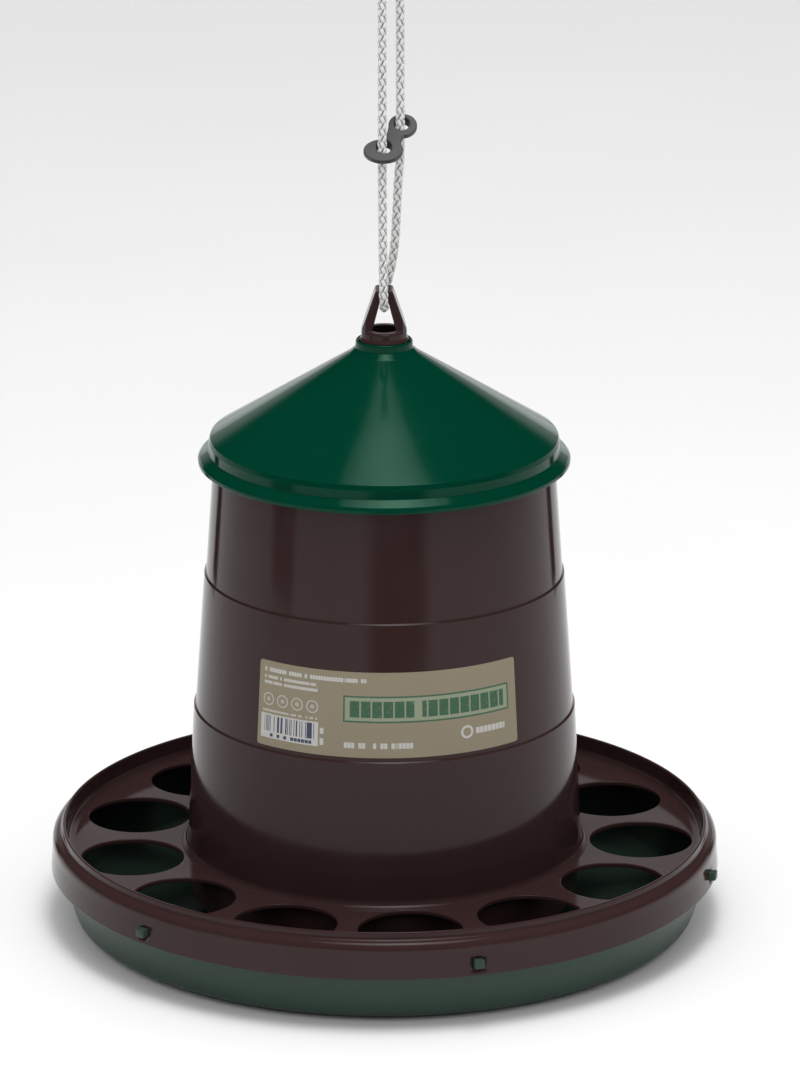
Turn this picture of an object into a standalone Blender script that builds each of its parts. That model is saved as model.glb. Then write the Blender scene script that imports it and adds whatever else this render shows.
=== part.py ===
"""A hanging gravity feeder for poultry: a tapered hopper with a loose conical lid, a pan
under a ring of feeding holes, and the hanger and rope that carry it.

Lengths are in metres. Heights are measured up from the pan's underside, and the empty
called feeder then puts the origin at the top of the rope's loop, where a hook holds it.
Bearings run from the front, -Y, towards +X."""

import math

import bmesh
import bpy
from mathutils import Matrix, Vector

MM = 0.001
SEAT_HEIGHT = 582.0 * MM  # the inside top of the rope's loop, above the pan's underside

# Feeding ring
RING_RADIUS = 180.0 * MM
PLATE_TOP = 40.5 * MM
PLATE_THICKNESS = 2.3 * MM
RING_BOTTOM = 28.6 * MM
LIP_TOP = 52.3 * MM
THROAT_RADIUS = 105.9 * MM
HOLE_COUNT = 13
HOLE_RADIUS = 27.5 * MM
HOLE_CIRCLE_RADIUS = 138.4 * MM
FIRST_HOLE_BEARING = 5.6
WINDOW_SIZE = (6.5 * MM, 5.4 * MM)
WINDOW_HEIGHT = 32.9 * MM

# Pan
PAN_FLOOR_RADIUS = 160.0 * MM
PAN_WALL = 2.2 * MM
PAN_RIM_RADIUS = 176.4 * MM
PAN_RIM_HEIGHT = 42.4 * MM
CONE_RADIUS = 93.0 * MM
CONE_HEIGHT = 48.0 * MM
LUG_COUNT = 6
FIRST_LUG_BEARING = 15.6
LUG_SIZE = (5.5 * MM, 4.7 * MM)
LUG_BOTTOM = 33.2 * MM
LUG_REACH = 183.0 * MM

# Hopper
HOPPER_TOP = 265.4 * MM
HOPPER_WALL = 2.2 * MM
HOPPER_TOP_RADIUS = 90.0 * MM
FOOT_HEIGHT = 40.8 * MM
FOOT_RADIUS = 108.3 * MM
FEED_GAP = 14.0 * MM  # the hopper's lower edge, above the pan's underside
LEDGE_HEIGHTS = (192.6 * MM, 118.8 * MM)
BARB_COUNT = 4

# Label
LABEL_BOTTOM = 121.8 * MM
LABEL_TOP = 167.7 * MM
LABEL_MIDDLE_BEARING = 1.2
LABEL_HALF_ANGLE = 42.5
LABEL_THICKNESS = 0.3 * MM

# Lid
CONE_TOP = (15.5 * MM, 315.4 * MM)
CONE_FOOT = (92.3 * MM, 267.6 * MM)
LID_WALL = 2.6 * MM  # measured straight down
COLLAR_TOP = 320.6 * MM
COLLAR_BORE = 13.5 * MM

# Hanger and the spider that ties it to the hopper
HUB_RADIUS = 13.1 * MM
HUB_TOP = 326.0 * MM
TUBE_BORE = 7.3 * MM
POST_RADIUS = 11.0 * MM
POST_BOTTOM = 252.0 * MM
BAIL_RADIUS = 12.1 * MM
BAIL_HALF_DEPTH = 6.9 * MM
BAIL_TOP = 348.0 * MM
CROWN_SIZE = (5.0 * MM, 4.6 * MM)  # half its width, and its rise
EYE_HALF_WIDTH = 5.0 * MM
EYE_FOOT = 322.0 * MM
EYE_ARCH_RADIUS = 3.1 * MM
EYE_ARCH_HEIGHT = 337.5 * MM
SADDLE_GROOVE = 3.0 * MM
SPIDER_BOTTOM = 255.5 * MM
SPIDER_TOP = 265.5 * MM
SPIDER_ARMS = 3

# Rope and what is on it
ROPE_DIAMETER = 5.0 * MM
BEND_RADIUS = 10.0 * MM
BEND_CENTRE = 347.8 * MM
KNOT_BOTTOM = 524.6 * MM
KNOT_TOP = 542.4 * MM
KNOT_RADIUS = 8.6 * MM
ADJUSTER_TILT = 45.0
ADJUSTER_THICKNESS = 3.0 * MM
ADJUSTER_HEIGHT = 423.8 * MM
LEFT_STRAND = (-0.9 * MM, -5.0 * MM)
RIGHT_STRAND = (8.5 * MM, 5.0 * MM)
ADJUSTER_BORE = 3.1 * MM

SEGMENTS = 48
SMALL_SEGMENTS = 24
GAP = 0.3 * MM

BROWN = ((0.040, 0.022, 0.020, 1.0), 0.28, 0.0)
GREEN = ((0.004, 0.050, 0.028, 1.0), 0.26, 0.0)
DULL_GREEN = ((0.030, 0.052, 0.042, 1.0), 0.42, 0.0)
GREY = ((0.045, 0.052, 0.050, 1.0), 0.45, 0.0)
WHITE = ((0.80, 0.80, 0.77, 1.0), 0.85, 0.0)
KRAFT = ((0.37, 0.31, 0.23, 1.0), 0.60, 0.0)

for old in list(bpy.data.objects):
    bpy.data.objects.remove(old, do_unlink=True)

feeder = bpy.data.objects.new("feeder", None)
feeder.location.z = -SEAT_HEIGHT
bpy.context.scene.collection.objects.link(feeder)


def material(name, finish):
    color, roughness, metallic = finish
    made = bpy.data.materials.new(name)
    made.use_nodes = True
    shader = made.node_tree.nodes["Principled BSDF"]
    shader.inputs["Base Color"].default_value = color
    shader.inputs["Roughness"].default_value = roughness
    shader.inputs["Metallic"].default_value = metallic
    made.diffuse_color = color
    return made


def placed(name, mesh, finish=None):
    """An object under the feeder's empty. With no finish it is a helper, left out of a render."""
    made = bpy.data.objects.new(name, mesh)
    made.parent = feeder
    bpy.context.scene.collection.objects.link(made)
    if finish is None:
        made.hide_render = True
        made.display_type = "WIRE"
    else:
        made.data.materials.append(material(name, finish))
    return made


def mesh_of(name, bm):
    bmesh.ops.recalc_face_normals(bm, faces=bm.faces)
    mesh = bpy.data.meshes.new(name)
    bm.to_mesh(mesh)
    bm.free()
    mesh.shade_smooth()
    mesh.set_sharp_from_angle(angle=math.radians(30))
    return mesh


def turned(name, outline, steps=SEGMENTS):
    """A mesh turned round Z from an outline of (radius, height). It closes on itself or on the axis."""
    bm = bmesh.new()
    verts = [bm.verts.new((radius, 0, height)) for radius, height in outline]
    on_axis = outline[0][0] == 0 and outline[-1][0] == 0
    pairs = zip(verts, verts[1:]) if on_axis else zip(verts, verts[1:] + verts[:1])
    edges = [bm.edges.new(pair) for pair in pairs]
    bmesh.ops.spin(
        bm, geom=verts + edges, axis=(0, 0, 1), cent=(0, 0, 0),
        angle=math.tau, steps=steps, use_merge=True,
    )
    bmesh.ops.remove_doubles(bm, verts=bm.verts, dist=1e-6)
    return mesh_of(name, bm)


def oval(centre, across, along, start=0, end=360, steps=SMALL_SEGMENTS):
    """Points on an ellipse, from one angle to another in degrees. A whole turn doesn't repeat its first."""
    count = steps if end - start == 360 else steps + 1
    angles = [math.radians(start + (end - start) * i / steps) for i in range(count)]
    return [(centre[0] + across * math.cos(a), centre[1] + along * math.sin(a)) for a in angles]


def arc(centre, radius, start, end, steps=4):
    return oval(centre, radius, radius, start, end, steps)


def bearing(degrees):
    """The turn round Z that takes a shape from the front to a bearing."""
    return Matrix.Rotation(math.radians(degrees), 4, "Z")


def add_block(bm, low, high, turn=None):
    """A box between two corners, turned round Z."""
    size = Vector(high) - Vector(low)
    middle = (Vector(high) + Vector(low)) / 2
    shape = Matrix.Translation(middle) @ Matrix.Diagonal((*size, 1))
    bmesh.ops.create_cube(bm, size=1, matrix=(turn or Matrix()) @ shape)


def blocks(name, count, first, width, low, high):
    """Boxes round the axis: width across, and from low to high in (radius, height)."""
    bm = bmesh.new()
    for i in range(count):
        corner = (-width / 2, -high[0], low[1])
        add_block(bm, corner, (width / 2, -low[0], high[1]), bearing(first + i * 360 / count))
    return mesh_of(name, bm)


def combine(target, other, operation):
    step = target.modifiers.new(other.name, "BOOLEAN")
    step.operation = operation
    step.solver = "EXACT"
    step.object = other


def make_ring():
    """The brown plate with its feeding holes, its upturned lip and the skirt that clips over the pan."""
    under = PLATE_TOP - PLATE_THICKNESS
    pocket = [(177.1 * MM, 42.6 * MM), (176.0 * MM, 44.0 * MM), (174.6 * MM, 43.6 * MM)]
    outline = [
        (THROAT_RADIUS, 36.2 * MM),
        (THROAT_RADIUS, PLATE_TOP),
        (166.6 * MM, PLATE_TOP),
        *arc((166.6 * MM, PLATE_TOP + 5.0 * MM), 5.0 * MM, -60, 0, 3),
        (171.9 * MM, LIP_TOP - 0.7 * MM),
        (172.6 * MM, LIP_TOP),
        (173.5 * MM, LIP_TOP - 0.7 * MM),
        (174.0 * MM, 49.4 * MM),
        *arc((174.2 * MM, 43.4 * MM), 4.8 * MM, 70, 0, 3),
        (179.1 * MM, 40.0 * MM),
        (178.7 * MM, 39.4 * MM),
        (179.3 * MM, 38.7 * MM),
        (RING_RADIUS, RING_BOTTOM),
        (177.9 * MM, RING_BOTTOM),
        (177.4 * MM, 38.0 * MM),
        *pocket,
        (173.6 * MM, under),
        (108.4 * MM, under),
        (108.4 * MM, 36.2 * MM),
    ]
    ring = placed("feeding_ring", turned("feeding_ring", outline), BROWN)
    bm = bmesh.new()
    for i in range(HOLE_COUNT):
        turn = bearing(FIRST_HOLE_BEARING + i * 360 / HOLE_COUNT)
        at = turn @ Matrix.Translation((0, -HOLE_CIRCLE_RADIUS, PLATE_TOP))
        bmesh.ops.create_cone(
            bm, cap_ends=True, segments=SMALL_SEGMENTS, matrix=at,
            radius1=HOLE_RADIUS, radius2=HOLE_RADIUS, depth=12 * MM,
        )
    combine(ring, placed("hole_cutter", mesh_of("hole_cutter", bm)), "DIFFERENCE")
    top = WINDOW_HEIGHT + WINDOW_SIZE[1]
    windows = blocks(
        "window_cutter", LUG_COUNT, FIRST_LUG_BEARING, WINDOW_SIZE[0],
        (175.6 * MM, WINDOW_HEIGHT), (186 * MM, top),
    )
    combine(ring, placed("window_cutter", windows), "DIFFERENCE")


def make_pan():
    """The green dish: a hollow cone in the middle that spreads the feed, and lugs round its rim."""
    wall_foot = (167.6 * MM, 5.4 * MM)
    inner = PAN_RIM_RADIUS - 2.1 * MM
    outline = [
        (0, CONE_HEIGHT - PAN_WALL),
        (6 * MM, CONE_HEIGHT - PAN_WALL - 1.6 * MM),
        (CONE_RADIUS - 3 * MM, 0),
        (PAN_FLOOR_RADIUS, 0),
        (164.6 * MM, 1.6 * MM),
        wall_foot,
        (PAN_RIM_RADIUS, 34.0 * MM),
        (PAN_RIM_RADIUS, PAN_RIM_HEIGHT - 0.6 * MM),
        (PAN_RIM_RADIUS - 1.0 * MM, PAN_RIM_HEIGHT),
        (inner, PAN_RIM_HEIGHT - 0.6 * MM),
        (inner, 34.0 * MM),
        (165.4 * MM, 6.4 * MM),
        (163.0 * MM, 3.6 * MM),
        (159.4 * MM, PAN_WALL),
        (CONE_RADIUS, PAN_WALL),
        (6 * MM, CONE_HEIGHT - 1.2 * MM),
        (0, CONE_HEIGHT),
    ]
    pan = placed("pan", turned("pan", outline), DULL_GREEN)
    lugs = blocks(
        "lugs", LUG_COUNT, FIRST_LUG_BEARING, LUG_SIZE[0],
        (PAN_RIM_RADIUS - 1.2 * MM, LUG_BOTTOM), (LUG_REACH, LUG_BOTTOM + LUG_SIZE[1]),
    )
    combine(pan, placed("lugs", lugs), "UNION")


def wall_radius(height):
    """The hopper's outer radius between its top and its foot: three tapers, a step at each ledge."""
    upper, lower = LEDGE_HEIGHTS
    if height > upper:
        return 95.0 * MM - (height - upper) * 5.0 / 72.0
    if height > lower:
        return 101.2 * MM - (height - lower) * 5.2 / 73.0
    return 105.4 * MM - (height - 56 * MM) * 3.2 / 62.0


def make_hopper():
    """The brown hopper, open at both ends, with a spout that runs down through the ring."""
    upper, lower = LEDGE_HEIGHTS
    outer = [
        (HOPPER_TOP_RADIUS - 1.1 * MM, HOPPER_TOP),
        (HOPPER_TOP_RADIUS, HOPPER_TOP - 0.9 * MM),
        (wall_radius(upper + 2 * MM), upper + 2 * MM),
        (wall_radius(upper), upper),
        (wall_radius(lower + 2 * MM), lower + 2 * MM),
        (wall_radius(lower), lower),
        (wall_radius(56 * MM), 56 * MM),
        *arc((114.0 * MM, 51.4 * MM), 8.4 * MM, 178, 226, 3),
        (FOOT_RADIUS, 43.2 * MM),
        (FOOT_RADIUS - 0.3 * MM, FOOT_HEIGHT),
        (105.2 * MM, FOOT_HEIGHT),
        (104.2 * MM, FEED_GAP),
    ]
    inner = [
        (102.0 * MM, FEED_GAP),
        (103.0 * MM, FOOT_HEIGHT),
        (wall_radius(56 * MM) - HOPPER_WALL, 56 * MM),
        (wall_radius(lower) - HOPPER_WALL, lower),
        (wall_radius(upper) - HOPPER_WALL, upper),
        (HOPPER_TOP_RADIUS - HOPPER_WALL, HOPPER_TOP - 0.9 * MM),
    ]
    hopper = placed("hopper", turned("hopper", outer + inner), BROWN)
    barbs = blocks("barbs", BARB_COUNT, 45, 12 * MM, (103.6 * MM, 33.4 * MM), (107.2 * MM, 35.8 * MM))
    combine(hopper, placed("barbs", barbs), "UNION")
    slots = blocks(
        "slot_cutter", SPIDER_ARMS, 180, 6.3 * MM, (84 * MM, 257.5 * MM), (94 * MM, 263.0 * MM)
    )
    combine(hopper, placed("slot_cutter", slots), "DIFFERENCE")


def faceted(radius, degrees):
    """The radius of a turned wall's flat facets at an angle from +X."""
    facet = 360 / SEGMENTS
    off = degrees % facet - facet / 2
    return radius * math.cos(math.radians(facet / 2)) / math.cos(math.radians(off))


def make_label():
    """A sticker that follows the hopper's middle section."""
    middle = LABEL_MIDDLE_BEARING - 90
    start, end = middle - LABEL_HALF_ANGLE, middle + LABEL_HALF_ANGLE
    facet = 360 / SEGMENTS
    inside = [facet * i for i in range(math.ceil(start / facet), math.floor(end / facet) + 1)]
    bm = bmesh.new()
    columns = []
    for angle in [start, *inside, end]:
        column = []
        for height, lift in (
            (LABEL_BOTTOM, GAP), (LABEL_TOP, GAP),
            (LABEL_TOP, GAP + LABEL_THICKNESS), (LABEL_BOTTOM, GAP + LABEL_THICKNESS),
        ):
            radius = faceted(wall_radius(height) + lift, angle)
            a = math.radians(angle)
            column.append(bm.verts.new((radius * math.cos(a), radius * math.sin(a), height)))
        columns.append(column)
    for one, two in zip(columns, columns[1:]):
        for i in range(4):
            j = (i + 1) % 4
            bm.faces.new((one[i], one[j], two[j], two[i]))
    bm.faces.new(columns[0])
    bm.faces.new(columns[-1])
    placed("label", mesh_of("label", bm), KRAFT)


def make_lid():
    """The green cone, its collar round the hanger, and the rolled brim that sheds rain."""
    under_top = (16.0 * MM, CONE_TOP[1] - LID_WALL - 0.3 * MM)
    outline = [
        (COLLAR_BORE, under_top[1]),
        (COLLAR_BORE, COLLAR_TOP - 0.4 * MM),
        (14.1 * MM, COLLAR_TOP),
        (14.9 * MM, COLLAR_TOP - 0.9 * MM),
        (15.2 * MM, COLLAR_TOP - 3.0 * MM),
        CONE_TOP,
        CONE_FOOT,
        (93.0 * MM, 266.4 * MM),
        (93.2 * MM, 260.0 * MM),
        (94.1 * MM, 258.9 * MM),
        (96.9 * MM, 258.2 * MM),
        *arc((96.8 * MM, 256.2 * MM), 2.0 * MM, 60, 0, 2),
        (98.8 * MM, 254.2 * MM),
        (97.3 * MM, 253.9 * MM),
        (96.6 * MM, 256.2 * MM),
        (91.3 * MM, 256.8 * MM),
        (91.3 * MM, 268.2 * MM - LID_WALL),
        under_top,
    ]
    placed("lid", turned("lid", outline), GREEN)


def make_hanger():
    """The bail that the rope passes through, on the hollow post that runs down to the spider."""
    outline = [
        (TUBE_BORE, POST_BOTTOM),
        (POST_RADIUS, POST_BOTTOM),
        (POST_RADIUS, SPIDER_TOP + GAP),
        (13.0 * MM, SPIDER_TOP + GAP),
        (13.0 * MM, 268.4 * MM),
        (POST_RADIUS, 270.2 * MM),
        (POST_RADIUS, 314.6 * MM),
        (HUB_RADIUS, 316.4 * MM),
        (HUB_RADIUS, 321.0 * MM),
        (BAIL_RADIUS, 322.2 * MM),
        (BAIL_RADIUS, HUB_TOP - 1.2 * MM),
        (BAIL_RADIUS - 1.2 * MM, HUB_TOP),
        (TUBE_BORE, HUB_TOP),
    ]
    hanger = placed("hanger", turned("hanger", outline, SMALL_SEGMENTS), BROWN)

    flank = [
        (-BAIL_RADIUS, HUB_TOP - 3 * MM), (-BAIL_RADIUS, HUB_TOP), (-5.9 * MM, BAIL_TOP - 4 * MM)
    ]
    crown = oval((0, BAIL_TOP - CROWN_SIZE[1]), *CROWN_SIZE, 150, 30, 4)
    other_flank = [(-x, z) for x, z in reversed(flank)]
    bail = placed("bail", prism("bail", flank + crown + other_flank, BAIL_HALF_DEPTH))
    drum = bmesh.new()
    bmesh.ops.create_cone(
        drum, cap_ends=True, segments=SMALL_SEGMENTS, radius1=BAIL_RADIUS - 0.2 * MM,
        radius2=BAIL_RADIUS - 0.2 * MM, depth=40 * MM,
        matrix=Matrix.Translation((0, 0, 340 * MM)) @ bearing(4),
    )
    combine(bail, placed("bail_trim", mesh_of("bail_trim", drum)), "INTERSECT")
    eye = [
        (EYE_HALF_WIDTH, EYE_FOOT), (EYE_HALF_WIDTH, EYE_FOOT + 5 * MM),
        *arc((0, EYE_ARCH_HEIGHT), EYE_ARCH_RADIUS, 0, 180, 6),
        (-EYE_HALF_WIDTH, EYE_FOOT + 5 * MM), (-EYE_HALF_WIDTH, EYE_FOOT),
    ]
    combine(bail, placed("eye_cutter", prism("eye_cutter", eye, 12 * MM)), "DIFFERENCE")
    saddle = turned("saddle_cutter", arc((BEND_RADIUS, 0), SADDLE_GROOVE, 0, 330, 11))
    saddle.transform(Matrix.Translation((0, 0, BEND_CENTRE)) @ Matrix.Rotation(math.pi / 2, 4, "Y"))
    combine(bail, placed("saddle_cutter", saddle), "DIFFERENCE")
    combine(hanger, bail, "UNION")
    nibs = blocks("nibs", 2, 90, 6 * MM, (POST_RADIUS - 2.4 * MM, 252.6 * MM), (12.3 * MM, 255.1 * MM))
    combine(hanger, placed("nibs", nibs), "UNION")


def prism(name, outline, half_depth):
    """A flat outline in X and Z, made solid along Y."""
    bm = bmesh.new()
    face = bm.faces.new([bm.verts.new((x, -half_depth, z)) for x, z in outline])
    moved = bmesh.ops.extrude_face_region(bm, geom=[face])["geom"]
    verts = [item for item in moved if isinstance(item, bmesh.types.BMVert)]
    bmesh.ops.translate(bm, verts=verts, vec=(0, 2 * half_depth, 0))
    return mesh_of(name, bm)


def make_spider():
    """Three arms from the post to slots in the hopper's mouth."""
    hub = [
        (11.4 * MM, SPIDER_BOTTOM), (15.5 * MM, SPIDER_BOTTOM),
        (15.5 * MM, SPIDER_TOP), (11.4 * MM, SPIDER_TOP),
    ]
    spider = placed("hanger_spider", turned("hanger_spider", hub, SMALL_SEGMENTS), BROWN)
    arms = blocks("arms", SPIDER_ARMS, 180, 7 * MM, (13.2 * MM, 257 * MM), (87.2 * MM, 264 * MM))
    combine(spider, placed("arms", arms), "UNION")
    tongues = blocks(
        "tongues", SPIDER_ARMS, 180, 5.5 * MM, (80 * MM, 258 * MM), (89.8 * MM, 262.5 * MM)
    )
    combine(spider, placed("tongues", tongues), "UNION")


def smooth_route(points, spacing):
    """Points a given distance apart on a smooth curve through the route."""
    route = [Vector(p) * MM for p in points]
    ends = [2 * route[0] - route[1], *route, 2 * route[-1] - route[-2]]
    fine = []
    for a, b, c, d in zip(ends, ends[1:], ends[2:], ends[3:]):
        for i in range(24):
            t = i / 24
            fine.append(0.5 * (
                2 * b + (c - a) * t + (2 * a - 5 * b + 4 * c - d) * t * t
                + (3 * b - a - 3 * c + d) * t ** 3
            ))
    fine.append(route[-1])
    total = sum((q - p).length for p, q in zip(fine, fine[1:]))
    count = max(2, round(total / spacing))
    kept, walked, wanted = [fine[0]], 0.0, 1
    for p, q in zip(fine, fine[1:]):
        length = (q - p).length
        while wanted < count and walked + length >= wanted * total / count:
            kept.append(p.lerp(q, (wanted * total / count - walked) / length))
            wanted += 1
        walked += length
    return [*kept, fine[-1]]


def make_tube(name, points, spacing=11 * MM):
    curve = bpy.data.curves.new(name, "CURVE")
    curve.dimensions = "3D"
    curve.bevel_depth = ROPE_DIAMETER / 2
    curve.bevel_resolution = 2
    curve.use_fill_caps = True
    route = smooth_route(points, spacing)
    spline = curve.splines.new("POLY")
    spline.points.add(len(route) - 1)
    for point, place in zip(spline.points, route):
        point.co = (*place, 1)
    placed(name, curve, WHITE)


def make_rope():
    """One strand down the front, round under the bail's saddle and up behind, then the loop above
    the knot. The route's places are in millimetres."""
    make_tube("rope", [
        (-2.7, -1.2, 524.1), (-2.7, -1.3, 521), (-2.4, -2.0, 516.5), (-1.7, -3.4, 510), (-1.0, -4.7, 503),
        (-0.9, -5.0, 494), (-0.9, -5.0, 470), (-0.9, -5.0, 440), (-0.9, -5.0, 410),
        (-0.8, -6.4, 392), (-0.6, -8.5, 368), (-0.4, -9.7, 354),
        (-0.25, -10.1, 346.4), (-0.12, -8.75, 342.7), (-0.05, -6.4, 340.1), (0.0, -3.4, 338.4),
        (0.0, 0.0, 337.8),
        (0.0, 3.4, 338.4), (0.0, 6.4, 340.1), (0.2, 8.75, 342.7), (1.0, 10.1, 346.3),
        (2.3, 10.3, 351), (3.7, 9.9, 357), (4.9, 9.2, 364), (5.9, 8.1, 374), (6.7, 6.7, 389),
        (7.4, 5.6, 403),
        (8.3, 5.0, 416), (8.5, 5.0, 424), (8.5, 5.0, 445), (8.5, 5.0, 470), (8.5, 5.0, 494),
        (8.2, 4.7, 502), (6.6, 3.5, 509.5), (3.9, 1.9, 516.5), (2.8, 1.3, 521), (2.7, 1.2, 524.1),
    ], 6 * MM)
    make_tube("rope_loop", [
        (-2.7, 0, 542.9), (-2.8, 0, 546), (-3.8, 0, 550.5), (-6.2, 0, 557), (-9.6, 0, 566), (-11.0, 0, 573.5),
        (-9.5, 0, 579), (-5.5, 0, 583), (0, 0, 584.5), (5.5, 0, 583), (9.5, 0, 579),
        (11.0, 0, 573.5), (9.6, 0, 566), (6.2, 0, 557), (3.8, 0, 550.5), (2.8, 0, 546),
        (2.7, 0, 542.9),
    ], 6 * MM)
    outline = [
        (0, KNOT_BOTTOM), (5.8 * MM, KNOT_BOTTOM), (8.0 * MM, KNOT_BOTTOM + 3 * MM),
        (KNOT_RADIUS, (KNOT_BOTTOM + KNOT_TOP) / 2),
        (8.0 * MM, KNOT_TOP - 3 * MM), (5.8 * MM, KNOT_TOP), (0, KNOT_TOP),
    ]
    placed("rope_knot", turned("rope_knot", outline, SMALL_SEGMENTS), WHITE)


def plate(name, outline):
    """A flat outline in the adjuster's own plane, made solid, then leaned back and put in place."""
    bm = bmesh.new()
    low = -ADJUSTER_THICKNESS / 2
    face = bm.faces.new([bm.verts.new((u * MM, v * MM, low)) for u, v in outline])
    moved = bmesh.ops.extrude_face_region(bm, geom=[face])["geom"]
    verts = [item for item in moved if isinstance(item, bmesh.types.BMVert)]
    bmesh.ops.translate(bm, verts=verts, vec=(0, 0, ADJUSTER_THICKNESS))
    lean = Matrix.Rotation(math.radians(ADJUSTER_TILT), 4, "X")
    bm.transform(Matrix.Translation((0, LEFT_STRAND[1], ADJUSTER_HEIGHT)) @ lean)
    return mesh_of(name, bm)


def make_adjuster():
    """The leaning plate with an eye at each end, which grips both strands of the rope."""
    adjuster = placed("rope_adjuster", plate("rope_adjuster", oval((-0.4, -0.6), 10.2, 6.6)), GREY)
    upper = placed("upper_eye", plate("upper_eye", oval((9.8, 14.8), 7.4, 6.6)))
    web = placed("web", plate("web", [(0.0, 2.0), (9.4, -1.0), (8.9, 5.0), (11.0, 10.0), (3.0, 17.0)]))
    combine(adjuster, web, "UNION")
    combine(adjuster, upper, "UNION")
    bm = bmesh.new()
    for (x, y), height in ((LEFT_STRAND, 0), (RIGHT_STRAND, 10 * MM)):
        bmesh.ops.create_cone(
            bm, cap_ends=True, segments=SMALL_SEGMENTS, radius1=ADJUSTER_BORE,
            radius2=ADJUSTER_BORE, depth=16 * MM,
            matrix=Matrix.Translation((x, y, ADJUSTER_HEIGHT + height)),
        )
    combine(adjuster, placed("eye_bores", mesh_of("eye_bores", bm)), "DIFFERENCE")


make_pan()
make_ring()
make_hopper()
make_label()
make_lid()
make_spider()
make_hanger()
make_rope()
make_adjuster()
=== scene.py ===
"""Looks of a hanging gravity feeder for poultry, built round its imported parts.

Sizes are in millimetres, and heights are measured up from the pan's underside, as on the
maker's drawing; place() turns them into metres in the feeder's own frame. Bearings run
from the front, -Y, towards +X."""

import math

import bmesh
import bpy
import numpy as np
from mathutils import Matrix, Vector


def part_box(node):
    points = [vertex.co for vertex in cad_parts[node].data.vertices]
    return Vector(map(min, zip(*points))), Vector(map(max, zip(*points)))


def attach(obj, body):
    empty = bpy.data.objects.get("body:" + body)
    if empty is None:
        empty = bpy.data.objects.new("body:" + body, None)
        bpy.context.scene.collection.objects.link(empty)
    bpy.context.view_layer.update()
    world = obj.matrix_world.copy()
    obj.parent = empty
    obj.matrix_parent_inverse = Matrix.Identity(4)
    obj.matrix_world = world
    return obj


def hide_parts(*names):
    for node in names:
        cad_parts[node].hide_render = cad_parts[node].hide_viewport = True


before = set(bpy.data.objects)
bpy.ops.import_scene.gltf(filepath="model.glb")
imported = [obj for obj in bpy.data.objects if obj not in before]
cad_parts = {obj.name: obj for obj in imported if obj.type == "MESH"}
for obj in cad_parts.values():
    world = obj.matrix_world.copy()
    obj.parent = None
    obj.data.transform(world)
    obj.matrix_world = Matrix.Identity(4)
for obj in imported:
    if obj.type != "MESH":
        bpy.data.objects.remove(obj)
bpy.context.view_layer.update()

MM = 0.001
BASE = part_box("pan")[0].z  # the pan's underside
SCENE = bpy.context.scene

# Feeding ring
PLATE_TOP, PLATE_UNDER = 40.5, 38.2
PLATE_EDGE = 166.6
THROAT = 105.9
HOLES = 13
HOLE_RADIUS, HOLE_CIRCLE, FIRST_HOLE = 27.5, 138.4, 5.6
HOLE_ROUND = 0.6
LUGS, FIRST_LUG = 6, 15.6
LUG_WIDTH, LUG_BOTTOM, LUG_TOP, LUG_REACH = 5.5, 33.2, 37.9, 183.0
WINDOW_WIDTH, WINDOW_BOTTOM, WINDOW_TOP = 6.5, 32.9, 38.3

# Hopper, label and lid
LEDGES = (192.6, 118.8)
RIM_ROW, UNDER_RIM_ROW = 256.9, 256.5  # a close pair of rows in the wall, below the rim
SPOUT_END = 14.0
WALL = 2.2
LABEL_BOTTOM, LABEL_TOP = 121.8, 167.7
LABEL_BEARING, LABEL_HALF_ANGLE = 1.2, 42.5
LABEL_CORNER = 1.6
COLLAR_TOP = 320.6
CONE_FOOT = (92.3, 267.6)

# Hanger and spider
HUB_TOP, HUB_RADIUS, TUBE_BORE = 326.0, 12.1, 7.3
BAIL_TOP, BAIL_HALF_DEPTH = 348.0, 6.9
SPIDER_BOTTOM, SPIDER_TOP = 255.5, 265.5
ARMS = 3

# Rope and what is on it
ROPE = 5.0
BEND_RADIUS, BEND_CENTRE = 10.0, 347.8
KNOT_BOTTOM, KNOT_TOP = 524.6, 542.4
ADJUSTER_TILT, ADJUSTER_HEIGHT = 45.0, 423.8
EYE_STEP = 10  # how much higher the right eye is
EYE_RADIUS, EYE_STRETCH, EYE_SHIFT = 2.85, 1.4, 0.9
LEFT_STRAND, RIGHT_STRAND = (-0.9, -5.0), (8.5, 5.0)

AROUND = 26 * HOLES  # segments of a large turned piece
AROUND_SMALL = 96


def place(x, y, height):
    """A point of the drawing, in metres in the feeder's frame."""
    return Vector((x * MM, y * MM, BASE + height * MM))


# ---------------------------------------------------------------- nodes


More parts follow.
